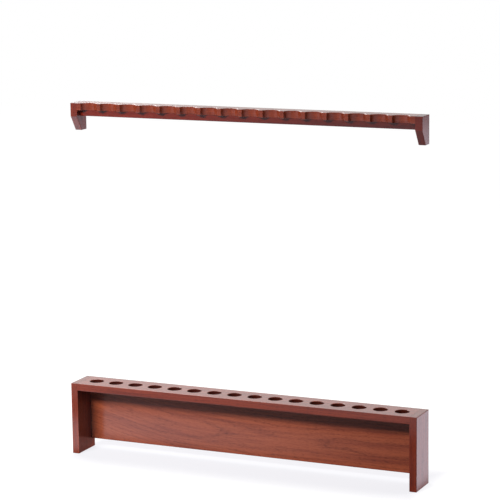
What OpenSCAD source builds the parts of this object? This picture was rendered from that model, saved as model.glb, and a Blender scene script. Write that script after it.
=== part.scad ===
// Rod rack in two separate pieces: a lower rack that stands on the floor and takes the
// rod butts in a row of round holes, and an upper rail on the wall whose scalloped front
// edge holds the rods upright. Millimetres, +Z up, +Y to the wall. The origin is on the
// floor, at the middle of the lower rack's width and depth.

/* [Whole rack] */
// Number of rod places
places = 16; // [4:1:18]
// Distance between neighbouring rod places
pitch = 57.15; // [55:0.05:75]
// Distance from the inner face of an end to the middle of the nearest rod place
end_room = 34.925; // [32:0.005:60]
// Thickness of every board
board_t = 19.05; // [16:0.05:22]
// Radius of the eased outer edges
edge_r = 1.6; // [0.8:0.1:3]
// Radius of the fine edge left along a glued seam
seam_r = 0.4; // [0.2:0.1:0.8]

/* [Lower rack] */
// Height of the lower rack
lower_h = 190.5; // [150:0.5:240]
// Depth of the lower rack from front to wall
lower_d = 88.9; // [80:0.1:120]
// Open height between the floor and the back board
floor_gap = 25.4; // [15:0.1:35]
// Diameter of the rod holes
rod_hole_d = 36.5; // [30:0.5:42]
// Radius that rounds the rim of each rod hole
hole_rim_r = 2.0; // [0.5:0.1:3]

/* [Upper rail] */
// Height of the rail's top above the floor
rail_top_z = 927.1; // [800:0.1:1100]
// Depth of the rail from front to wall
rail_d = 50.8; // [46:0.1:80]
// Radius of the arc of each rod notch
notch_r = 25.4; // [23:0.1:26]
// Depth of each rod notch
notch_depth = 16.5; // [10:0.5:20]
// Radius that rounds the top rim of each notch
notch_rim_r = 1.6; // [0.5:0.1:2.5]
// Radius that eases the two corners of each notch
notch_corner_r = 2.0; // [0.5:0.1:2.5]
// Height of the two brackets
bracket_h = 73.0; // [66:0.5:90]
// Height of the bracket's straight front edge above its slant
bracket_front_h = 35.0; // [25:0.5:45]
// Depth of the bracket's foot
bracket_foot_d = 26.0; // [22:0.1:45]
// Thickness of the board glued under the notched board, its front level with the notches
under_t = 15.9; // [12:0.1:19]

/* [Keyholes in the brackets' backs] */
// Diameter of the round entry that a wall screw's head goes in through
keyhole_d = 9.6; // [8:0.1:11]
// Depth of the round entry
keyhole_entry_depth = 14.0; // [12:0.5:16]
// Depth of the slot above the entry
keyhole_slot_depth = 9.0; // [7:0.5:11]
// Thickness of the lip that the screw's head hangs behind
keyhole_lip = 3.0; // [2:0.1:4]
// Width of the slot through the lip, for the screw's neck
keyhole_neck_w = 5.0; // [4:0.1:6]
// How far the slot runs up from the middle of the entry
keyhole_rise = 10.0; // [8:0.5:14]
// Height of the middle of the entry above the bracket's foot
keyhole_h = 15.0; // [12:0.5:18]

/* [Dowels] */
// Diameter of the hidden dowels
dowel_d = 8.0; // [6:0.1:9]
// Length of a dowel between a board's end or edge and the side of another board
dowel_l = 36.0; // [30:0.5:40]
// How far a dowel goes into the side of a board
dowel_in_side = 12.0; // [9:0.5:13]
// Diameter of the thin dowels in the board under the rail
thin_dowel_d = 6.0; // [5:0.1:7]
// Length of a thin dowel
thin_dowel_l = 20.0; // [16:0.5:21]
// How far a thin dowel goes into the notched board or a bracket
thin_dowel_in_side = 11.0; // [8:0.5:12]
// Glue space round a dowel
dowel_clearance = 0.1; // [0.05:0.05:0.3]
// Glue space past a dowel's end
dowel_end_room = 0.5; // [0.2:0.1:1]
// Chamfer on a dowel's ends
dowel_chamfer = 1.0; // [0.5:0.1:1.5]
// Distance from a board's edge to the middle of its first dowel
dowel_margin = 15.0; // [12:0.5:18]
// Distance from the under board's edge to the middle of its first thin dowel
thin_dowel_margin = 8.5; // [7:0.5:10]
// Number of dowels along the lower rack's back seam
back_dowels = 6; // [4:1:10]
// Number of thin dowels along the seam between the rail's two boards
under_dowels = 6; // [4:1:10]

/* [Hidden] */

$fn = 64;
over = 1;
stain_red = [0.50, 0.22, 0.17];
stain_dark = [0.42, 0.17, 0.13];
bare_beech = [0.80, 0.66, 0.46];

// Planes that both pieces share
wall_y = lower_d/2;
first_place_x = -(places - 1)*pitch/2;
inner_x = end_room - first_place_x;
outer_x = inner_x + board_t;

// Edge radii of a board that is glued on top of another, and of the board under it
edges_over_seam = [edge_r, seam_r, edge_r, edge_r];
edges_under_seam = [edge_r, edge_r, seam_r, seam_r];

// Lower rack
lower_front_y = -lower_d/2;
back_board_h = lower_h - board_t - floor_gap;
back_board_y = wall_y - board_t/2;
back_top_z = lower_h - board_t;

// Upper rail
rail_front_y = wall_y - rail_d;
rail_under_z = rail_top_z - board_t;
bracket_low_z = rail_top_z - bracket_h;
bracket_slant_z = rail_top_z - bracket_front_h;
notch_centre_y = rail_front_y - (notch_r - notch_depth);
under_front_y = rail_front_y + notch_depth;
under_mid_y = (under_front_y + wall_y)/2;
under_low_z = rail_under_z - under_t;
under_mid_z = rail_under_z - under_t/2;
keyhole_z = bracket_low_z + keyhole_h;

// Dowels: their rows in each seam, clear of the rod holes, the notches and the keyholes
top_dowel_ys = [lower_front_y + dowel_margin, wall_y - dowel_margin];
back_dowel_zs = [floor_gap + dowel_margin, floor_gap + back_board_h/2, back_top_z - 2*dowel_margin];
rail_dowel_ys = [under_front_y + dowel_d, wall_y - dowel_margin];
top_dowel_z = lower_h - board_t/2;
rail_dowel_z = rail_top_z - board_t/2;
under_dowel_ys = [under_front_y + thin_dowel_margin, wall_y - thin_dowel_margin];
back_dowel_xs = spread_xs(back_dowels);
under_dowel_xs = spread_xs(under_dowels);

function place_x(i) = first_place_x + i*pitch;
function spread_xs(count) = [for (i = [0:count - 1]) inner_x*((2*i + 1)/count - 1)];
function unit(v) = v/norm(v);

// Takes the corner at p, between the directions a and b of its two edges, off to radius r
module corner_cut(p, a, b, r) {
    half = acos(a*b)/2;
    centre = p + unit(a + b)*r/sin(half);
    touch_a = p + a*r/tan(half);
    touch_b = p + b*r/tan(half);
    difference() {
        polygon([
            centre,
            touch_a + unit(touch_a - centre)*over,
            p - unit(a + b)*2*over,
            touch_b + unit(touch_b - centre)*over
        ]);
        translate(centre) circle(r);
    }
}

// Outline with one rounding radius for each of its corners
module eased_outline(points, radii) {
    n = len(points);
    difference() {
        polygon(points);
        for (i = [0:n - 1]) {
            to_last = unit(points[(i + n - 1) % n] - points[i]);
            to_next = unit(points[(i + 1) % n] - points[i]);
            corner_cut(points[i], to_last, to_next, radii[i]);
        }
    }
}

// Rectangle whose radii run round from its low corner: low left, low right, high right, high left
module eased_rectangle(low, high, radii) {
    eased_outline([low, [high[0], low[1]], high, [low[0], high[1]]], radii);
}

// Carries an outline drawn in Y and Z along X, from x0 to x1
module along_x(x0, x1) {
    translate([x0, 0, 0]) rotate([90, 0, 90]) linear_extrude(x1 - x0) children();
}

// Carries an outline drawn in X and Z along Y, from y0 to y1
module along_y(y0, y1) {
    translate([0, y1, 0]) rotate([90, 0, 0]) linear_extrude(y1 - y0) children();
}

// Carries an outline drawn in X and Y along Z, from z0 to z1
module along_z(z0, z1) {
    translate([0, 0, z0]) linear_extrude(z1 - z0) children();
}

// Cuts a round hole through a board of height h and rounds its upper and lower rim
module rimmed_hole(r, h, high_rim, low_rim) {
    rotate_extrude($fn = 96) {
        translate([0, -over]) square([r, h + 2*over]);
        difference() {
            translate([0, h - high_rim]) square([r + high_rim, high_rim + over]);
            translate([r + high_rim, h - high_rim]) circle(high_rim);
        }
        difference() {
            translate([0, -over]) square([r + low_rim, low_rim + over]);
            translate([r + low_rim, low_rim]) circle(low_rim);
        }
    }
}

// A dowel along +Z with chamfered ends, of which the length inside lies above z = 0
module dowel(d, l, inside) {
    end_d = d - 2*dowel_chamfer;
    color(bare_beech) translate([0, 0, inside - l]) {
        translate([0, 0, dowel_chamfer]) cylinder(d = d, h = l - 2*dowel_chamfer);
        cylinder(d1 = end_d, d2 = d, h = dowel_chamfer);
        translate([0, 0, l - dowel_chamfer]) cylinder(d1 = d, d2 = end_d, h = dowel_chamfer);
    }
}

// The hole for such a dowel, in both boards of its seam at z = 0
module dowel_hole(d, l, inside) {
    translate([0, 0, inside - l - dowel_end_room])
        cylinder(d = d + 2*dowel_clearance, h = l + 2*dowel_end_room);
}

// The two sizes of dowel that the rack uses, and their holes
module thick_dowel() {
    dowel(dowel_d, dowel_l, dowel_in_side);
}

module thick_dowel_hole() {
    dowel_hole(dowel_d, dowel_l, dowel_in_side);
}

module thin_dowel() {
    dowel(thin_dowel_d, thin_dowel_l, thin_dowel_in_side);
}

module thin_dowel_hole() {
    dowel_hole(thin_dowel_d, thin_dowel_l, thin_dowel_in_side);
}

// Places its children in an end seam, +Z pointing out of the boards into the upright
module in_end_seam(side, ys, zs) {
    for (y = ys) for (z = zs)
        translate([side*inner_x, y, z]) rotate([0, side*90, 0]) children();
}

// Places its children in a lengthwise seam, +Z pointing up into the board above it
module in_long_seam(xs, y, z) {
    for (x = xs) translate([x, y, z]) children();
}

// Lower rack: the board that the rods stand through
module lower_top_board() {
    color(stain_red) difference() {
        along_x(-inner_x, inner_x)
            eased_rectangle([lower_front_y, back_top_z], [wall_y, lower_h], edges_over_seam);
        for (i = [0:places - 1])
            translate([place_x(i), 0, back_top_z])
                rimmed_hole(rod_hole_d/2, board_t, hole_rim_r, hole_rim_r);
        for (side = [-1, 1]) in_end_seam(side, top_dowel_ys, [top_dowel_z]) thick_dowel_hole();
        in_long_seam(back_dowel_xs, back_board_y, back_top_z) thick_dowel_hole();
    }
}

// Lower rack: the board that closes the back and keeps the ends square
module lower_back_board() {
    color(stain_red) difference() {
        along_x(-inner_x, inner_x)
            eased_rectangle([wall_y - board_t, floor_gap], [wall_y, back_top_z], edges_under_seam);
        for (side = [-1, 1]) in_end_seam(side, [back_board_y], back_dowel_zs) thick_dowel_hole();
        in_long_seam(back_dowel_xs, back_board_y, back_top_z) thick_dowel_hole();
    }
}

// Lower rack: an upright end that runs from the floor to the top
module lower_end(side) {
    x0 = min(side*inner_x, side*outer_x);
    x1 = max(side*inner_x, side*outer_x);
    seam_left = side > 0 ? seam_r : edge_r;
    seam_right = side > 0 ? edge_r : seam_r;
    color(stain_dark) difference() {
        intersection() {
            along_x(x0, x1)
                eased_rectangle([lower_front_y, 0], [wall_y, lower_h], [edge_r, edge_r, edge_r, edge_r]);
            along_y(lower_front_y, wall_y)
                eased_rectangle([x0, 0], [x1, lower_h], [edge_r, edge_r, seam_right, seam_left]);
            along_z(0, lower_h)
                eased_rectangle([x0, lower_front_y], [x1, wall_y], [seam_left, seam_right, edge_r, edge_r]);
        }
        in_end_seam(side, top_dowel_ys, [top_dowel_z]) thick_dowel_hole();
        in_end_seam(side, [back_board_y], back_dowel_zs) thick_dowel_hole();
    }
}

// Upper rail: the board whose scalloped front edge holds the rods
module upper_notched_board() {
    color(stain_red) difference() {
        along_x(-inner_x, inner_x)
            eased_rectangle([rail_front_y, rail_under_z], [wall_y, rail_top_z], edges_over_seam);
        for (i = [0:places - 1]) translate([place_x(i), 0, 0]) notch_cut();
        for (side = [-1, 1]) in_end_seam(side, rail_dowel_ys, [rail_dowel_z]) thick_dowel_hole();
        in_long_seam(under_dowel_xs, under_mid_y, rail_under_z) thin_dowel_hole();
    }
}

// One scallop: a rimmed arc, and an easing where the arc meets the front edge
module notch_cut() {
    translate([0, notch_centre_y, rail_under_z])
        rimmed_hole(notch_r, board_t, notch_rim_r, seam_r);
    for (side = [-1, 1]) along_z(rail_under_z - over, rail_top_z + over) notch_corner(side);
}

// The region between the front edge, the arc and the circle that is tangent to both
module notch_corner(side) {
    centre_out = rail_front_y - notch_centre_y;
    reach = sqrt(pow(notch_r + notch_corner_r, 2) - pow(centre_out + notch_corner_r, 2));
    centre = [side*reach, rail_front_y + notch_corner_r];
    to_arc = unit([0, notch_centre_y] - centre);
    difference() {
        polygon([
            centre,
            centre + to_arc*(notch_corner_r + over),
            centre + [-side*notch_corner_r, -notch_corner_r - over],
            centre + [0, -notch_corner_r - over]
        ]);
        translate(centre) circle(notch_corner_r);
    }
}

// Upper rail: the thinner board under the notched one, level with the bottoms of the notches
module upper_under_board() {
    color(stain_dark) difference() {
        along_x(-inner_x, inner_x)
            eased_rectangle([under_front_y, under_low_z], [wall_y, rail_under_z], edges_under_seam);
        for (side = [-1, 1]) in_end_seam(side, under_dowel_ys, [under_mid_z]) thin_dowel_hole();
        in_long_seam(under_dowel_xs, under_mid_y, rail_under_z) thin_dowel_hole();
    }
}

// Upper rail: the bracket at each end, cut back on a slant under its straight front
module upper_bracket(side) {
    x0 = min(side*inner_x, side*outer_x);
    x1 = max(side*inner_x, side*outer_x);
    left_r = side > 0 ? seam_r : edge_r;
    right_r = side > 0 ? edge_r : seam_r;
    foot_y = wall_y - bracket_foot_d;
    slant = unit([foot_y - rail_front_y, bracket_low_z - bracket_slant_z]);
    slant_l = norm([foot_y - rail_front_y, bracket_low_z - bracket_slant_z]);
    color(stain_dark) difference() {
        intersection() {
            along_x(x0, x1) eased_outline(
                [[foot_y, bracket_low_z], [wall_y, bracket_low_z], [wall_y, rail_top_z],
                 [rail_front_y, rail_top_z], [rail_front_y, bracket_slant_z]],
                [edge_r, edge_r, edge_r, edge_r, edge_r]);
            along_y(rail_front_y, wall_y)
                eased_rectangle([x0, bracket_low_z], [x1, rail_top_z], [edge_r, edge_r, right_r, left_r]);
            along_z(bracket_low_z, rail_top_z)
                eased_rectangle([x0, rail_front_y], [x1, wall_y], [left_r, right_r, edge_r, edge_r]);
            slanted_bar(x0, x1, rail_front_y, bracket_slant_z, atan2(-slant[1], slant[0]));
        }
        in_end_seam(side, rail_dowel_ys, [rail_dowel_z]) thick_dowel_hole();
        in_end_seam(side, under_dowel_ys, [under_mid_z]) thin_dowel_hole();
        translate([side*(inner_x + board_t/2), wall_y, keyhole_z]) keyhole();
    }
}

// A long bar with eased edges whose front face lies in the bracket's slant
module slanted_bar(x0, x1, y, z, angle) {
    reach = 2*(rail_d + bracket_h);
    translate([0, y, z]) rotate([90 - angle, 0, 0]) along_z(-reach, reach)
        eased_rectangle([x0, 0], [x1, reach], [edge_r, edge_r, edge_r, edge_r]);
}

// A keyhole in a back face at y = 0: a round entry, and above it an undercut slot behind a lip
module keyhole() {
    rotate([90, 0, 0]) {
        translate([0, 0, -over]) cylinder(d = keyhole_d, h = keyhole_entry_depth + over);
        translate([0, 0, -over]) keyhole_slot(keyhole_neck_w, keyhole_lip + 2*over);
        translate([0, 0, keyhole_lip]) keyhole_slot(keyhole_d, keyhole_slot_depth - keyhole_lip);
    }
}

// A slot of width w and depth h that rises from the middle of the entry to a round end
module keyhole_slot(w, h) {
    translate([-w/2, 0, 0]) cube([w, keyhole_rise, h]);
    translate([0, keyhole_rise, 0]) cylinder(d = w, h = h);
}

// Hidden dowels of the lower rack, one group for each seam
module lower_top_dowels(side) {
    in_end_seam(side, top_dowel_ys, [top_dowel_z]) thick_dowel();
}

module lower_back_dowels(side) {
    in_end_seam(side, [back_board_y], back_dowel_zs) thick_dowel();
}

module lower_back_to_top_dowels() {
    in_long_seam(back_dowel_xs, back_board_y, back_top_z) thick_dowel();
}

// Hidden dowels of the upper rail, one group for each seam
module upper_board_dowels(side) {
    in_end_seam(side, rail_dowel_ys, [rail_dowel_z]) thick_dowel();
}

module upper_under_dowels(side) {
    in_end_seam(side, under_dowel_ys, [under_mid_z]) thin_dowel();
}

module upper_under_to_board_dowels() {
    in_long_seam(under_dowel_xs, under_mid_y, rail_under_z) thin_dowel();
}

lower_top_board();
lower_back_board();
lower_end(-1);  // lower_left_end
lower_end(1);  // lower_right_end
lower_top_dowels(-1);  // lower_left_top_dowels
lower_back_dowels(-1);  // lower_left_back_dowels
lower_top_dowels(1);  // lower_right_top_dowels
lower_back_dowels(1);  // lower_right_back_dowels
lower_back_to_top_dowels();
upper_notched_board();
upper_under_board();
upper_bracket(-1);  // upper_left_bracket
upper_bracket(1);  // upper_right_bracket
upper_board_dowels(-1);  // upper_left_board_dowels
upper_under_dowels(-1);  // upper_left_under_dowels
upper_board_dowels(1);  // upper_right_board_dowels
upper_under_dowels(1);  // upper_right_under_dowels
upper_under_to_board_dowels();
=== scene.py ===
"""Looks of a two-piece wooden rack: a drilled floor stand and a scalloped wall rail.

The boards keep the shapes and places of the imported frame. This script gives every board a
stained and lacquered wood that follows its own grain, gives the hidden dowels bare beech, and
sets the floor, the lights and the camera. All lengths are in metres.
"""

import logging
import math
from dataclasses import dataclass, fields
from enum import Enum

import bpy
from mathutils import Matrix, Vector


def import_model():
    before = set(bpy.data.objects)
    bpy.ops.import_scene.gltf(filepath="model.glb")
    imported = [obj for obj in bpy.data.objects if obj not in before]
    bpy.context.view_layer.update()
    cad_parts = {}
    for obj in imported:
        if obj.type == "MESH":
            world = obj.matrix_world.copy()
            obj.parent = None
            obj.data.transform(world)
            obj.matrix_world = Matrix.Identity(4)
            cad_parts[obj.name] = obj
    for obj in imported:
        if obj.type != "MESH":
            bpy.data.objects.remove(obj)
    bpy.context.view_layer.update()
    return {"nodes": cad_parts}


log = logging.getLogger("rack")

Colour = tuple[float, float, float]
Point = tuple[float, float, float]
Span = tuple[float, float]
Levels = tuple[float, float]
Curve = tuple[tuple[float, float], ...]
Socket = bpy.types.NodeSocket
Number = Socket | float

WHITE: Colour = (1.0, 1.0, 1.0)
NOISE_MIDDLE = 0.5  # a soft noise lies evenly about this
UNDER_ONE = 0.5  # a whole count that is smaller than this is nought

# Where a mix node keeps its factor, its two colours and its result.
MIX_FACTOR, MIX_FIRST, MIX_SECOND, MIX_RESULT = 0, 6, 7, 2


def linear(red: int, green: int, blue: int) -> Colour:
    """Turns a colour as it is seen on a screen, 0 to 255, into linear light.

    Args:
        red: Red, 0 to 255.
        green: Green, 0 to 255.
        blue: Blue, 0 to 255.

    Returns:
        The same colour in linear light, 0 to 1.
    """
    parts = (red / 255, green / 255, blue / 255)  # the screen's own curve is undone below
    return tuple(v / 12.92 if v <= 0.04045 else ((v + 0.055) / 1.055) ** 2.4 for v in parts)


class Shading:
    """A node tree, with short calls for the nodes that the rack and its studio need."""

    def __init__(self, tree: bpy.types.NodeTree) -> None:
        """Starts work in a node tree."""
        self.tree = tree

    def node(self, kind: str) -> bpy.types.Node:
        """Adds one node."""
        return self.tree.nodes.new(kind)

    def feed(self, socket: Socket, value: Number | tuple[float, ...]) -> None:
        """Links a socket to the value, or sets it where the value is a plain number or colour.

        Args:
            socket: The socket to fill.
            value: What goes into it.
        """
        if isinstance(value, Socket):
            self.tree.links.new(value, socket)
        else:
            socket.default_value = value

    def number(self, operation: str, *values: Number, limit: bool = False) -> Socket:
        """Works out one sum.

        Args:
            operation: The name of Blender's math operation.
            values: The sockets or numbers that go into it, in order.
            limit: Whether the result stays between 0 and 1.

        Returns:
            The socket that holds the result.
        """
        node = self.node("ShaderNodeMath")
        node.operation = operation
        node.use_clamp = limit
        for socket, value in zip(node.inputs, values):
            self.feed(socket, value)
        return node.outputs[0]

    def times(self, first: Number, second: Number) -> Socket:
        """Multiplies two numbers."""
        return self.number("MULTIPLY", first, second)

    def plus(self, first: Number, second: Number) -> Socket:
        """Adds two numbers."""
        return self.number("ADD", first, second)

    def point(self, x: Number, y: Number, z: Number) -> Socket:
        """Puts three numbers together into one point.

        Args:
            x: The first number or socket.
            y: The second number or socket.
            z: The third number or socket.

        Returns:
            The socket that holds the point.
        """
        node = self.node("ShaderNodeCombineXYZ")
        for socket, value in zip(node.inputs, (x, y, z)):
            self.feed(socket, value)
        return node.outputs[0]

    def parts(self, point: Socket) -> tuple[Socket, Socket, Socket]:
        """Takes a point apart into its three numbers.

        Args:
            point: The socket that holds the point.

        Returns:
            The sockets of its x, y and z.
        """
        node = self.node("ShaderNodeSeparateXYZ")
        self.feed(node.inputs[0], point)
        return tuple(node.outputs)

    def place(self) -> tuple[Socket, Socket, Socket]:
        """Gives the place on the surface, as x, y and z in the rack's frame."""
        return self.parts(self.node("ShaderNodeTexCoord").outputs["Object"])

    def facing(self) -> tuple[Socket, Socket, Socket]:
        """Gives the direction in which the surface faces, as x, y and z."""
        return self.parts(self.node("ShaderNodeNewGeometry").outputs["Normal"])

    def noise(self, place: Socket, detail: float, roughness: float) -> Socket:
        """Reads a soft noise about 0.5 at a place that is already scaled.

        Args:
            place: The scaled point.
            detail: How many finer layers are laid over the first.
            roughness: How strong the finer layers are.

        Returns:
            The socket that holds the noise.
        """
        node = self.node("ShaderNodeTexNoise")
        self.feed(node.inputs["Vector"], place)
        node.inputs["Scale"].default_value = 1.0
        node.inputs["Detail"].default_value = detail
        node.inputs["Roughness"].default_value = roughness
        return node.outputs["Fac"]

    def steps(self, factor: Socket, curve: Curve) -> Socket:
        """Maps a number through a curve of straight stretches.

        Args:
            factor: The number to map, 0 to 1.
            curve: The curve's places and heights, in order.

        Returns:
            The socket that holds the height.
        """
        node = self.node("ShaderNodeValToRGB")
        ramp = node.color_ramp
        while len(ramp.elements) < len(curve):
            ramp.elements.new(0.5)
        for element, (place, height) in zip(ramp.elements, curve):
            element.position = place
            element.color = (height, height, height, 1.0)
        self.feed(node.inputs[0], factor)
        return node.outputs["Color"]

    def ramp(self, value: Socket, span: Span, ends: tuple[Number, Number]) -> Socket:
        """Runs smoothly from one level to another over a span.

        Args:
            value: The socket that is measured against the span.
            span: Where the run starts and ends.
            ends: The level before the span and the level after it.

        Returns:
            The socket that holds the level.
        """
        node = self.node("ShaderNodeMapRange")
        node.interpolation_type = "SMOOTHSTEP"
        names = ("Value", "From Min", "From Max", "To Min", "To Max")
        for name, given in zip(names, (value, *span, *ends)):
            self.feed(node.inputs[name], given)
        return node.outputs["Result"]

    def mix(
        self,
        factor: Number,
        first: Socket | Colour,
        second: Socket | Colour,
        blend: str = "MIX",
    ) -> Socket:
        """Mixes two colours.

        Args:
            factor: How much of the second colour shows.
            first: The first colour or socket.
            second: The second colour or socket.
            blend: The name of Blender's blend mode.

        Returns:
            The socket that holds the colour.
        """
        node = self.node("ShaderNodeMix")
        node.data_type = "RGBA"
        node.blend_type = blend
        self.feed(node.inputs[MIX_FACTOR], factor)
        for place, value in ((MIX_FIRST, first), (MIX_SECOND, second)):
            given = (*value, 1.0) if isinstance(value, tuple) else value
            self.feed(node.inputs[place], given)
        return node.outputs[MIX_RESULT]

    def scaled(self, colour: Colour, level: Socket) -> Socket:
        """Makes a colour brighter or darker.

        Args:
            colour: The colour at level 1.
            level: The socket that holds the level.

        Returns:
            The socket that holds the colour.
        """
        node = self.node("ShaderNodeVectorMath")
        node.operation = "SCALE"
        self.feed(node.inputs[0], colour)
        self.feed(node.inputs["Scale"], level)
        return node.outputs["Vector"]

    def camera_sees(self) -> Socket:
        """Gives 1 where the camera looks straight at the surface, and 0 for all other light."""
        return self.node("ShaderNodeLightPath").outputs["Is Camera Ray"]

    def in_sight(self) -> Socket:
        """Tells what the camera, a gloss or a glass sees from what lights the object.

        What a dull surface has already scattered counts as light, not as sight.

        Returns:
            The socket that holds 1 for what is seen and 0 for other light.
        """
        path = self.node("ShaderNodeLightPath").outputs
        looked_at = self.number("MAXIMUM", path["Is Camera Ray"], path["Is Glossy Ray"])
        looked_at = self.number("MAXIMUM", looked_at, path["Is Transmission Ray"])
        not_yet_scattered = self.number("LESS_THAN", path["Diffuse Depth"], UNDER_ONE)
        return self.times(looked_at, not_yet_scattered)


class Recipe(Shading):
    """The node tree of one wood, which ends in one Principled shader."""

    def __init__(self, name: str) -> None:
        """Starts an empty material.

        Args:
            name: The material's name.
        """
        self.material = bpy.data.materials.new(name)
        self.material.use_nodes = True
        super().__init__(self.material.node_tree)
        self.tree.nodes.clear()
        principled = self.node("ShaderNodeBsdfPrincipled")
        self.surface = principled.inputs
        output = self.node("ShaderNodeOutputMaterial")
        self.feed(output.inputs["Surface"], principled.outputs["BSDF"])

    def bump(self, height: Socket, depth: float, strength: float) -> None:
        """Gives the surface small hollows and ridges.

        Args:
            height: The height, 0 to 1.
            depth: How far a height of 1 stands over a height of 0.
            strength: How much of the relief shows, 0 to 1.
        """
        node = self.node("ShaderNodeBump")
        node.inputs["Strength"].default_value = strength
        node.inputs["Distance"].default_value = depth
        self.feed(node.inputs["Height"], height)
        self.feed(self.surface["Normal"], node.outputs["Normal"])


class Grain(Enum):
    """The direction in which a board's grain runs, as the number of that axis."""

    ACROSS_RACK = 0
    UPRIGHT = 2


@dataclass(frozen=True)
class Figure:
    """A soft noise that is drawn out along the grain.

    Attributes:
        length: Size of its forms along the grain.
        width: Size of its forms across the grain.
        detail: How many finer layers lie over the first.
        roughness: How strong the finer layers are.
    """

    length: float
    width: float
    detail: float
    roughness: float = 0.5


@dataclass(frozen=True)
class WoodPlace:
    """A place in a board, told along the grain and across it.

    Attributes:
        along: Place along the grain.
        side: Place across the grain.
        deep: Place across the grain, the other way.
    """

    along: Socket
    side: Socket
    deep: Socket

    def read(self, recipe: Recipe, figure: Figure, shift: float = 0.0) -> Socket:
        """Reads a figure at this place.

        Args:
            recipe: The material being made.
            figure: The figure to read.
            shift: How far along the grain the figure is moved.

        Returns:
            The socket that holds the figure.
        """
        along = recipe.plus(self.along, shift) if shift else self.along
        point = recipe.point(
            recipe.number("DIVIDE", along, figure.length),
            recipe.number("DIVIDE", self.side, figure.width),
            recipe.number("DIVIDE", self.deep, figure.width),
        )
        return recipe.noise(point, figure.detail, figure.roughness)


@dataclass(frozen=True)
class BoardCut:
    """How one board was cut from the log, so that no two boards share a figure.

    Attributes:
        grain: The direction of the grain.
        heart: Where the heart of the log lay in the two directions across the grain.
        seed: A number that moves the board along the log.
        depth_of_stain: How dark this board took the stain; 1 is the usual depth.
        ring_strength: How strongly the growth rings show; 1 is the strongest board.
        run_out: How steeply the grain leaves the board's edge at its left end.
        straight_from: Place along the board from which the grain runs along the edge.
        bored: How far from the board's middle line its round holes reach; 0 where it has none.
        paler_left: Painted light: how much paler the left end is than the right end; 0 where both
            are alike.
    """

    grain: Grain
    heart: tuple[float, float]
    seed: float
    depth_of_stain: float
    ring_strength: float
    run_out: float = 0.0
    straight_from: float = 0.0
    bored: float = 0.0
    paler_left: float = 0.0


@dataclass(frozen=True)
class GrowthRings:
    """The growth rings round the heart of the log.

    Attributes:
        step: Distance between two rings.
        wander: How far the heart sways from a straight line.
        sideways: The sway across the grain.
        inward: The sway across the grain, the other way.
        inward_shift: How far the second sway is moved along the grain.
        ripple: The small waves in each ring.
        ripple_height: Height of these waves, in rings.
        early_wood: How coarse the wood is from one ring to the next.
        weakest_to_strongest: How much of it the weakest and the strongest ring show.
    """

    step: float = 0.0052
    wander: float = 0.030
    sideways: Figure = Figure(0.55, 0.16, 2.0)
    inward: Figure = Figure(0.40, 0.16, 2.0)
    inward_shift: float = 7.3
    ripple: Figure = Figure(0.10, 0.012, 2.0)
    ripple_height: float = 0.9
    early_wood: Curve = ((0.0, 0.55), (0.10, 1.0), (0.34, 0.25), (0.75, 0.0), (1.0, 0.55))
    weakest_to_strongest: Curve = ((0.0, 0.35), (1.0, 1.0))

    def lay(self, recipe: Recipe, cut: BoardCut, place: WoodPlace) -> tuple[Socket, Socket]:
        """Lays the rings through one board.

        Args:
            recipe: The material being made.
            cut: How the board was cut.
            place: The place in the board.

        Returns:
            How much coarse early wood there is, and a tone that differs from ring to ring.
        """
        bend = place.read(recipe, self.sideways)
        sway = place.read(recipe, self.inward, self.inward_shift)
        squares = []
        for across, heart, swing in zip((place.side, place.deep), cut.heart, (bend, sway)):
            swung = recipe.times(recipe.number("SUBTRACT", swing, NOISE_MIDDLE), self.wander)
            off = recipe.plus(recipe.number("SUBTRACT", across, heart), swung)
            squares.append(recipe.times(off, off))
        radius = recipe.number("SQRT", recipe.plus(*squares))
        waves = recipe.times(place.read(recipe, self.ripple), self.ripple_height)
        count = recipe.plus(recipe.number("DIVIDE", radius, self.step), waves)
        early = recipe.steps(recipe.number("FRACT", count), self.early_wood)
        chance = recipe.node("ShaderNodeTexWhiteNoise")
        chance.noise_dimensions = "1D"
        recipe.feed(chance.inputs["W"], recipe.number("FLOOR", count))
        tone = chance.outputs["Value"]
        return recipe.times(early, recipe.steps(tone, self.weakest_to_strongest)), tone


@dataclass(frozen=True)
class Lacquer:
    """A semi-gloss lacquer over filled wood.

    Attributes:
        roughness: Roughness of the lacquer.
        ior: How strongly the lacquer bends light; it sets how much the boards mirror.
        body_roughness: Roughness of the wood under the lacquer.
        pore_roughness: How much rougher a pore is.
        body_ior: How strongly the filled wood bends light; it gives the soft sheen.
        relief: Depth of the pores under the lacquer.
        early_relief: How far the early wood has sunk, as a part of a pore's depth.
        relief_strength: How much of the relief shows, 0 to 1.
    """

    roughness: float = 0.17
    ior: float = 1.4
    body_roughness: float = 0.50
    pore_roughness: float = 0.25
    body_ior: float = 1.32
    relief: float = 0.00009
    early_relief: float = 0.3
    relief_strength: float = 0.5

    def coat(self, recipe: Recipe, pores: Socket, early: Socket) -> None:
        """Lays the lacquer over the wood.

        Args:
            recipe: The material being made.
            pores: How much of a pore is there.
            early: How much early wood there is.
        """
        rough = recipe.plus(self.body_roughness, recipe.times(pores, self.pore_roughness))
        recipe.feed(recipe.surface["Roughness"], rough)
        recipe.feed(recipe.surface["IOR"], self.body_ior)
        recipe.feed(recipe.surface["Coat Weight"], 1.0)
        recipe.feed(recipe.surface["Coat Roughness"], self.roughness)
        recipe.feed(recipe.surface["Coat IOR"], self.ior)
        sunk = recipe.plus(pores, recipe.times(early, self.early_relief))
        recipe.bump(recipe.number("SUBTRACT", 1.0, sunk), self.relief, self.relief_strength)


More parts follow.
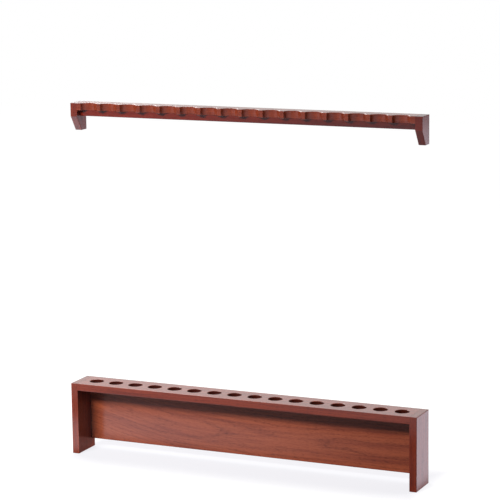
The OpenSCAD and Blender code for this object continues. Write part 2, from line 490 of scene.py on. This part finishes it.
@dataclass(frozen=True)
class LacqueredOak:
    """Open-grained wood with a red-brown stain under semi-gloss lacquer.

    Attributes:
        light: Colour of the smooth late wood.
        middle: Colour of the board as a whole.
        dark: Colour of the coarse early wood, which takes up more stain.
        pore: Colour in the open pores.
        rings: The growth rings.
        lacquer: The lacquer.
        streaks: The long streaks.
        fine: The fine lines between them.
        pore_dots: The open pores.
        ring_tone: How much the rings' own tones lighten the wood.
        streak_tone: How much the streaks lighten it.
        fine_tone: How much the fine lines lighten it.
        light_streaks: Which of the streaks are light.
        dark_streaks: Which of them are dark, and how dark.
        early_shown: How much the early wood darkens the wood.
        pore_crowding: How much more pores the early wood has.
        open_pores: From where on a dot is an open pore.
        pore_shown: How much a pore darkens the wood.
        end_faces: From which slant on a face shows end grain.
        end_shown: How much end grain darkens the wood.
        shaded_wall_slants: From which slant on a face is the wall of a hole, where shade is
            painted.
        hole_shade_strength: How much the drilled walls are darkened: partly stain, mostly painted
            shade.
        grain_bow: Half the length over which slanting grain bends straight.
    """

    light: Colour = linear(170, 88, 56)
    middle: Colour = linear(148, 68, 42)
    dark: Colour = linear(108, 43, 26)
    pore: Colour = linear(62, 23, 14)
    rings: GrowthRings = GrowthRings()
    lacquer: Lacquer = Lacquer()
    streaks: Figure = Figure(0.26, 0.011, 5.0, 0.62)
    fine: Figure = Figure(0.050, 0.0018, 3.0, 0.6)
    pore_dots: Figure = Figure(0.012, 0.0005, 1.0)
    ring_tone: float = 0.30
    streak_tone: float = 0.42
    fine_tone: float = 0.28
    light_streaks: Curve = ((0.30, 0.0), (0.70, 1.0))
    dark_streaks: Curve = ((0.34, 0.55), (0.54, 0.0))
    early_shown: float = 0.80
    pore_crowding: float = 0.10
    open_pores: Curve = ((0.60, 0.0), (0.68, 1.0))
    pore_shown: float = 0.60
    end_faces: Curve = ((0.70, 0.0), (0.95, 1.0))
    end_shown: float = 0.25
    shaded_wall_slants: Curve = ((0.30, 1.0), (0.80, 0.0))
    hole_shade_strength: float = 0.88
    grain_bow: float = 0.1

    def material(self, name: str, cut: BoardCut) -> bpy.types.Material:
        """Makes the material of one board.

        Args:
            name: The material's name.
            cut: How the board was cut.

        Returns:
            The finished material.
        """
        recipe = Recipe(name)
        x, y, z = recipe.place()
        place = self.wood_place(recipe, cut, x, y, z)
        early, ring_tone = self.rings.lay(recipe, cut, place)
        streaks = place.read(recipe, self.streaks)
        fine = place.read(recipe, self.fine)
        dots = place.read(recipe, self.pore_dots)
        raised = recipe.plus(dots, recipe.times(early, self.pore_crowding))
        pores = recipe.steps(raised, self.open_pores)

        tone = recipe.times(ring_tone, self.ring_tone * cut.ring_strength)
        light_streaks = recipe.steps(streaks, self.light_streaks)
        tone = recipe.plus(tone, recipe.times(light_streaks, self.streak_tone))
        tone = recipe.number("ADD", tone, recipe.times(fine, self.fine_tone), limit=True)
        colour = recipe.mix(tone, self.middle, self.light)
        early_shown = recipe.times(early, self.early_shown * cut.ring_strength)
        colour = recipe.mix(early_shown, colour, self.dark)
        colour = recipe.mix(recipe.steps(streaks, self.dark_streaks), colour, self.dark)
        colour = recipe.mix(recipe.times(pores, self.pore_shown), colour, self.pore)
        colour = recipe.mix(self.end_grain(recipe, cut), colour, self.pore)
        if cut.bored:
            # painted shade inside the round holes, with a little real stain on their walls
            colour = recipe.mix(self.shade_in_holes(recipe, cut, y), colour, self.pore)
        recipe.feed(recipe.surface["Base Color"], self.stained(recipe, cut, x, colour))
        self.lacquer.coat(recipe, pores, early)
        return recipe.material

    def wood_place(
        self, recipe: Recipe, cut: BoardCut, x: Socket, y: Socket, z: Socket
    ) -> WoodPlace:
        """Turns a place in the rack into a place in the log, where the grain may slant.

        Args:
            recipe: The material being made.
            cut: How the board was cut.
            x: Place along the rack.
            y: Place from the front to the wall.
            z: Height.

        Returns:
            The place in the log.
        """
        along, side, deep = (x, y, z) if cut.grain is Grain.ACROSS_RACK else (z, x, y)
        if cut.run_out:
            past = recipe.number("SUBTRACT", along, cut.straight_from)
            squares = recipe.plus(recipe.times(past, past), self.grain_bow**2)
            left = recipe.number("SUBTRACT", past, recipe.number("SQRT", squares))
            deep = recipe.plus(deep, recipe.times(left, cut.run_out / 2))
        return WoodPlace(recipe.plus(along, cut.seed), side, deep)

    def end_grain(self, recipe: Recipe, cut: BoardCut) -> Socket:
        """Finds the faces that cut across the grain, where the stain sinks deepest.

        Args:
            recipe: The material being made.
            cut: How the board was cut.

        Returns:
            How much the end grain is darkened, 0 on long grain.
        """
        across = recipe.number("ABSOLUTE", recipe.facing()[cut.grain.value])
        return recipe.times(recipe.steps(across, self.end_faces), self.end_shown)

    def shade_in_holes(self, recipe: Recipe, cut: BoardCut, y: Socket) -> Socket:
        """Finds the walls of the round holes: painted shade, with some stain that the open ends
        drink.

        Args:
            recipe: The material being made.
            cut: How the board was cut.
            y: Place from the front to the wall.

        Returns:
            How much painted shade darkens the wall, 0 everywhere else.
        """
        _, _, up = recipe.facing()
        upright = recipe.steps(recipe.number("ABSOLUTE", up), self.shaded_wall_slants)
        inside = recipe.number("LESS_THAN", recipe.number("ABSOLUTE", y), cut.bored)
        return recipe.times(recipe.times(upright, inside), self.hole_shade_strength)

    def stained(self, recipe: Recipe, cut: BoardCut, x: Socket, colour: Socket) -> Socket:
        """Stains the wood as deep as this board took the stain, and paints the left end paler as
        painted light.

        Args:
            recipe: The material being made.
            cut: How the board was cut.
            x: Place along the rack.
            colour: The wood's colour at the usual depth.

        Returns:
            The socket that holds the stained colour.
        """
        stain = tuple(part**cut.depth_of_stain / part for part in self.middle)
        colour = recipe.mix(1.0, colour, stain, "MULTIPLY")
        # painted light: the left end is painted paler, where the lamp's light and sheen fall
        # stronger
        if cut.paler_left:
            painted_light_factor = recipe.number("MULTIPLY_ADD", x, -cut.paler_left, 1.0)
            colour = recipe.mix(1.0, colour, recipe.point(painted_light_factor, painted_light_factor, painted_light_factor), "MULTIPLY")
        return colour


@dataclass(frozen=True)
class BareBeech:
    """Plain turned beech with short flecks, as dowels are sold.

    Attributes:
        pale: Colour of the wood.
        fleck: Colour of its short flecks.
        flecks: The flecks' size.
        shown_flecks: From where on a fleck shows.
        roughness: Roughness of the wood.
        fleck_roughness: How much rougher a fleck is.
        relief: Depth of the flecks.
        relief_strength: How much of the relief shows, 0 to 1.
    """

    pale: Colour = linear(214, 184, 146)
    fleck: Colour = linear(176, 138, 98)
    flecks: Figure = Figure(0.003, 0.0006, 2.0)
    shown_flecks: Curve = ((0.50, 0.0), (0.66, 1.0))
    roughness: float = 0.55
    fleck_roughness: float = 0.2
    relief: float = 0.0001
    relief_strength: float = 0.4

    def material(self, name: str) -> bpy.types.Material:
        """Makes the material of a group of dowels.

        Args:
            name: The material's name.

        Returns:
            The finished material.
        """
        recipe = Recipe(name)
        flecks = WoodPlace(*recipe.place()).read(recipe, self.flecks)
        shown = recipe.steps(flecks, self.shown_flecks)
        recipe.feed(recipe.surface["Base Color"], recipe.mix(shown, self.pale, self.fleck))
        rough = recipe.plus(self.roughness, recipe.times(shown, self.fleck_roughness))
        recipe.feed(recipe.surface["Roughness"], rough)
        recipe.bump(shown, self.relief, self.relief_strength)
        return recipe.material


def dress(node: bpy.types.Object, material: bpy.types.Material) -> None:
    """Gives a board of the frame its finish, and leaves its shape alone.

    Args:
        node: The board.
        material: Its finish.
    """
    node.data.materials.clear()
    node.data.materials.append(material)
    log.info("dressed %s", node.name)


@dataclass(frozen=True)
class WoodenPiece:
    """One of the rack's two pieces. A field that holds a cut is a board of that name.

    Attributes:
        prefix: How the names of this piece's nodes start.
        finish: The finish of the boards.
        dowels: The finish of the dowels.
    """

    prefix: str
    finish: LacqueredOak = LacqueredOak()
    dowels: BareBeech = BareBeech()

    def cuts(self) -> dict[str, BoardCut]:
        """Gives the cut of every board by the name of its node."""
        values = {self.prefix + item.name: getattr(self, item.name) for item in fields(self)}
        return {name: value for name, value in values.items() if isinstance(value, BoardCut)}

    def build(self, nodes: dict[str, bpy.types.Object]) -> None:
        """Dresses this piece's boards and dowels.

        Args:
            nodes: The frame's nodes by name.
        """
        cuts = self.cuts()
        bare = self.dowels.material(f"{self.prefix}bare_beech")
        for name in sorted(nodes):
            if name in cuts:
                dress(nodes[name], self.finish.material(f"{name}_wood", cuts[name]))
            elif name.startswith(self.prefix):
                dress(nodes[name], bare)


@dataclass(frozen=True)
class LowerRack(WoodenPiece):
    """The floor stand: a drilled top board, a back board and two ends.

    Attributes:
        top_board: The board with the round holes.
        back_board: The board between the ends.
        left_end: The left upright.
        right_end: The right upright.
    """

    prefix: str = "lower_"
    top_board: BoardCut = BoardCut(
        Grain.ACROSS_RACK,
        heart=(0.02, 0.11),
        seed=0.4,
        depth_of_stain=1.30,
        ring_strength=0.4,
        bored=0.022,
    )
    back_board: BoardCut = BoardCut(
        Grain.ACROSS_RACK,
        heart=(0.10, 0.075),
        seed=2.1,
        depth_of_stain=1.0,
        ring_strength=0.5,
        run_out=0.24,
        straight_from=-0.22,
    )
    left_end: BoardCut = BoardCut(
        Grain.UPRIGHT, heart=(-0.56, 0.02), seed=4.7, depth_of_stain=1.25, ring_strength=0.25
    )
    right_end: BoardCut = BoardCut(
        Grain.UPRIGHT, heart=(0.40, -0.03), seed=6.2, depth_of_stain=1.35, ring_strength=0.25
    )


@dataclass(frozen=True)
class UpperRail(WoodenPiece):
    """The wall rail: a notched board, a thinner board under it and two brackets.

    Attributes:
        notched_board: The board with the scalloped front.
        under_board: The board under it.
        left_bracket: The left bracket.
        right_bracket: The right bracket.
    """

    prefix: str = "upper_"
    notched_board: BoardCut = BoardCut(
        Grain.ACROSS_RACK, heart=(0.03, 0.83), seed=8.3, depth_of_stain=1.22, ring_strength=0.4
    )
    under_board: BoardCut = BoardCut(
        Grain.ACROSS_RACK,
        heart=(0.11, 0.87),
        seed=9.9,
        # deeper stain: partly the board's own darker tone, partly painted shade under the notched
        # board
        depth_of_stain=1.65,
        ring_strength=0.4,
        # painted light: the left end paler, where the lamp's light and sheen fall stronger
        paler_left=0.85,
    )
    left_bracket: BoardCut = BoardCut(
        Grain.UPRIGHT, heart=(-0.55, 0.01), seed=11.2, depth_of_stain=1.40, ring_strength=0.25
    )
    right_bracket: BoardCut = BoardCut(
        Grain.UPRIGHT, heart=(0.41, 0.0), seed=12.6, depth_of_stain=1.60, ring_strength=0.25
    )


@dataclass(frozen=True)
class SoftLamp:
    """One soft lamp with a flat white face.

    Attributes:
        name: The lamp's name.
        place: Where its face hangs.
        aim: The point that it faces.
        width: Width of the face.
        height: Height of the face.
        power: Power in watts.
        spread: How wide its light fans out, in degrees; a grid in front of the face narrows it.
        mirrored: Whether the lacquer mirrors the lamp.
    """

    name: str
    place: Point
    aim: Point
    width: float
    height: float
    power: float
    spread: float = 180.0
    mirrored: bool = False

    def build(self) -> None:
        """Hangs the lamp."""
        data = bpy.data.lights.new(self.name, "AREA")
        data.shape = "RECTANGLE"
        data.size = self.width
        data.size_y = self.height
        data.energy = self.power
        data.spread = math.radians(self.spread)
        lamp = bpy.data.objects.new(self.name, data)
        lamp.visible_camera = False
        lamp.visible_glossy = self.mirrored
        bpy.context.scene.collection.objects.link(lamp)
        towards = (Vector(self.aim) - Vector(self.place)).to_track_quat("-Z", "Y")
        lamp.matrix_world = Matrix.Translation(self.place) @ towards.to_matrix().to_4x4()
        log.info("hung %s", self.name)


@dataclass(frozen=True)
class SeenFloor:
    """How the camera sees the floor: pale with painted shade near the rack, pure white further
    out.

    Attributes:
        pale: How pale the floor's own colour is.
        glow: How far the floor near the rack is lifted towards white.
        side: Between these distances from the middle the floor turns pure white.
        front: The same in front of the rack, from far to near.
        back: The same behind the rack, from near to far.
    """

    pale: float = 0.17
    glow: Colour = (0.79, 0.785, 0.82)
    side: Span = (0.46, 0.53)
    front: Span = (-0.20, -0.05)
    back: Span = (0.10, 0.22)

    def shade(self, shading: Shading) -> Socket:
        """Works out how far the floor is lifted towards white, from the rack outwards.

        Args:
            shading: The floor's node tree.

        Returns:
            The socket that holds the colour of the lift.
        """
        x, y, _ = shading.place()
        past_end = shading.ramp(shading.number("ABSOLUTE", x), self.side, (0.0, 1.0))
        in_front = shading.ramp(y, self.front, (1.0, 0.0))
        at_back = shading.ramp(y, self.back, (0.0, 1.0))
        lift = shading.number("MAXIMUM", in_front, at_back)
        return shading.mix(shading.number("MAXIMUM", past_end, lift), self.glow, WHITE)


@dataclass(frozen=True)
class MirroredFloor:
    """Painted reflections: bright and dim floor patches that the lacquer mirrors; they run softly
    together.

    Attributes:
        tint: Tint of the open floor.
        left: Level just in front of the rack's left end; a painted sheen on the left of the rack.
        right: Level just in front of its right end.
        left_to_right: Places between which it runs from the one to the other.
        dim: Level of the dim strip further out, a painted dark reflection in the shade under the
            top board.
        dim_edge: Where the dim strip ends.
        front: Level beyond the dim strip.
        front_edge: Where that part ends.
        far: Level far out in front.
        far_edge: Where that part ends.
        back: Level behind the rack.
        side: Level to the right of the rack.
        rack_end: Where the rack ends and the floor beside it begins.
        beyond: Levels far behind, straight back and to the right.
        beyond_sides: Places between which it runs from the one to the other.
        beyond_edge: Where the far part behind begins.
        open_edge: Where the floor behind the rack begins.
        corner_edge: The same for the floor beside the rack.
        under: Colour of the shaded floor under the rack: painted shade and reflection, in the
            wood's colour.
        under_front: Where the shaded floor begins.
        under_back: Where it ends.
        under_end: Where it ends to the right.
    """

    tint: Colour = (0.98, 0.94, 1.06)
    left: float = 2.70
    right: float = 0.20
    left_to_right: Span = (-0.7, 0.5)
    dim: float = 0.02
    dim_edge: Span = (-0.42, -0.30)
    front: float = 1.15
    front_edge: Span = (-0.62, -0.52)
    far: float = 1.60
    far_edge: Span = (-2.2, -1.3)
    back: float = 1.15
    side: float = 1.42
    rack_end: Span = (0.46, 0.52)
    beyond: Levels = (0.05, 0.10)
    beyond_sides: Span = (1.6, 2.4)
    beyond_edge: Span = (1.3, 1.8)
    open_edge: Span = (0.05, 0.30)
    corner_edge: Span = (-0.15, 0.0)
    under: Colour = (0.62, 0.24, 0.20)
    under_front: Span = (-0.12, -0.04)
    under_back: Span = (0.16, 0.34)
    under_end: Span = (0.46, 0.50)

    def shade(self, shading: Shading) -> Socket:
        """Works out how bright a gloss sees the floor.

        Args:
            shading: The floor's node tree.

        Returns:
            The socket that holds the colour.
        """
        x, y, _ = shading.place()
        near = shading.ramp(x, self.left_to_right, (self.left, self.right))
        near = shading.ramp(y, self.dim_edge, (self.dim, near))
        near = shading.ramp(y, self.front_edge, (self.front, near))
        front = shading.ramp(y, self.far_edge, (self.far, near))
        beside = shading.ramp(x, self.rack_end, (self.back, self.side))
        beyond = shading.ramp(x, self.beyond_sides, self.beyond)
        behind = shading.ramp(y, self.beyond_edge, (beside, beyond))
        open_floor = shading.ramp(y, self.open_edge, (front, behind))
        corner = shading.ramp(y, self.corner_edge, (front, beside))
        past_end = shading.number("MAXIMUM", open_floor, corner)
        level = shading.ramp(x, self.rack_end, (open_floor, past_end))
        shaded = shading.ramp(y, self.under_front, (0.0, 1.0))
        shaded = shading.ramp(y, self.under_back, (shaded, 0.0))
        shaded = shading.ramp(x, self.under_end, (shaded, 0.0))
        return shading.mix(shaded, shading.scaled(self.tint, level), self.under)


@dataclass(frozen=True)
class Floor:
    """The pale floor that the stand's two ends rest on.

    Attributes:
        size: Length of a side.
        gap: How far it lies under the feet, so that the two don't share a plane.
        bounce: How much of the light it throws back onto the rack.
        seen: How the camera sees it.
        mirrored: How the lacquer mirrors it.
    """

    size: float = 14.0
    gap: float = 0.0004
    bounce: float = 0.06
    seen: SeenFloor = SeenFloor()
    mirrored: MirroredFloor = MirroredFloor()

    def build(self) -> None:
        """Lays the floor."""
        half = self.size / 2
        corner_points = [(-half, -half, 0), (half, -half, 0), (half, half, 0), (-half, half, 0)]
        mesh = bpy.data.meshes.new("floor")
        mesh.from_pydata(corner_points, [], [(0, 1, 2, 3)])
        floor = bpy.data.objects.new("floor", mesh)
        bpy.context.scene.collection.objects.link(floor)
        floor.location.z = -self.gap
        mesh.materials.append(self.material())
        log.info("laid the floor")

    def material(self) -> bpy.types.Material:
        """Makes the floor's material: a dull colour that takes the shadow, and a lift on it.

        Returns:
            The finished material.
        """
        material = bpy.data.materials.new("floor_white")
        material.use_nodes = True
        shading = Shading(material.node_tree)
        shading.tree.nodes.clear()
        matte = shading.node("ShaderNodeBsdfDiffuse")
        own = shading.mix(shading.camera_sees(), (self.bounce,) * 3, (self.seen.pale,) * 3)
        shading.feed(matte.inputs["Color"], own)
        glow = shading.node("ShaderNodeEmission")
        mirrored, seen = self.mirrored.shade(shading), self.seen.shade(shading)
        shading.feed(glow.inputs["Color"], shading.mix(shading.camera_sees(), mirrored, seen))
        shading.feed(glow.inputs["Strength"], shading.in_sight())
        both = shading.node("ShaderNodeAddShader")
        shading.feed(both.inputs[0], matte.outputs[0])
        shading.feed(both.inputs[1], glow.outputs[0])
        output = shading.node("ShaderNodeOutputMaterial")
        shading.feed(output.inputs["Surface"], both.outputs[0])
        return material


@dataclass(frozen=True)
class Room:
    """The white room round the floor.

    Attributes:
        light: How the room itself lights the object, a little cooler than the lamps.
        low: How bright the lacquer mirrors it below eye level, straight on and to the right.
        high: The same above eye level.
        to_right: Between these directions it runs from straight on to the right.
        eye_level: Between these directions it runs from low to high.
    """

    light: Colour = (0.026, 0.026, 0.031)
    low: Levels = (0.06, 0.08)
    high: Levels = (1.0, 0.25)
    to_right: Span = (0.0, 0.30)
    eye_level: Span = (-0.06, 0.24)

    def build(self) -> None:
        """Fills the room with even light, and shows it pure white; a gloss sees it dimmer."""
        world = bpy.data.worlds.new("white_room")
        world.use_nodes = True
        bpy.context.scene.world = world
        shading = Shading(world.node_tree)
        x, _, z = shading.parts(shading.node("ShaderNodeTexCoord").outputs["Generated"])
        low = shading.ramp(x, self.to_right, self.low)
        high = shading.ramp(x, self.to_right, self.high)
        mirrored = shading.ramp(z, self.eye_level, (low, high))
        walls = shading.mix(shading.camera_sees(), mirrored, WHITE)
        shown = shading.mix(shading.in_sight(), self.light, walls)
        shading.feed(shading.tree.nodes["Background"].inputs["Color"], shown)
        log.info("lit the room")


@dataclass(frozen=True)
class Studio:
    """A white studio: a pale floor, an even room, a lamp in front and two from behind.

    Attributes:
        floor: The floor.
        room: The room.
        tall_lamp: The lamp in front, high up and to the left.
        high_lamp: The lamp above and behind, which lights the tops.
        side_panel: The wide panel behind and to the right, which lights the right end.
    """

    floor: Floor = Floor()
    room: Room = Room()
    tall_lamp: SoftLamp = SoftLamp(
        "tall_lamp",
        place=(-1.4, -4.2, 2.95),
        aim=(-0.9, 0.0, 0.5),
        width=2.0,
        height=0.8,
        power=38.5,
        spread=60.0,
    )
    high_lamp: SoftLamp = SoftLamp(
        "high_lamp",
        place=(-1.4, 1.0, 1.9),
        aim=(-0.1, 0.0, 0.1),
        width=1.4,
        height=1.0,
        power=37.0,
        mirrored=True,
    )
    side_panel: SoftLamp = SoftLamp(
        "side_panel",
        place=(2.3, 1.5, 1.1),
        aim=(0.3, 0.0, 0.1),
        width=1.8,
        height=1.4,
        power=46.0,
    )

    def build(self) -> None:
        """Sets the floor, the room and the lamps."""
        self.floor.build()
        self.room.build()
        self.tall_lamp.build()
        self.high_lamp.build()
        self.side_panel.build()
        bpy.context.scene.view_settings.view_transform = "Standard"


@dataclass(frozen=True)
class Viewpoint:
    """The camera, where the photographer stood.

    Attributes:
        place: Where the camera stands.
        turn_left: How far it is turned to the left of straight at the wall, in degrees.
        tilt_down: How far it looks down, in degrees.
        roll: How far it leans, in degrees.
        lens: Focal length in millimetres.
        sensor: Width of the sensor in millimetres.
    """

    place: Point = (2.1980, -4.7857, 1.5333)
    turn_left: float = 24.468
    tilt_down: float = 10.372
    roll: float = -0.750
    lens: float = 152.56
    sensor: float = 36.0

    def build(self) -> None:
        """Makes the camera and hands it to the scene."""
        data = bpy.data.cameras.new("camera")
        data.lens = self.lens
        data.sensor_width = self.sensor
        camera = bpy.data.objects.new("camera", data)
        bpy.context.scene.collection.objects.link(camera)
        turn = Matrix.Rotation(math.radians(self.turn_left), 4, "Z")
        tilt = Matrix.Rotation(math.radians(90 - self.tilt_down), 4, "X")
        lean = Matrix.Rotation(math.radians(self.roll), 4, "Z")
        camera.matrix_world = Matrix.Translation(self.place) @ turn @ tilt @ lean
        bpy.context.scene.camera = camera
        log.info("placed the camera")


def main() -> None:
    """Builds the camera, the two wooden pieces and the studio."""
    logging.basicConfig(level=logging.INFO, format="%(name)s: %(message)s")
    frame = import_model()
    Viewpoint().build()
    LowerRack().build(frame["nodes"])
    UpperRail().build(frame["nodes"])
    Studio().build()


if __name__ == "__main__":
    main()
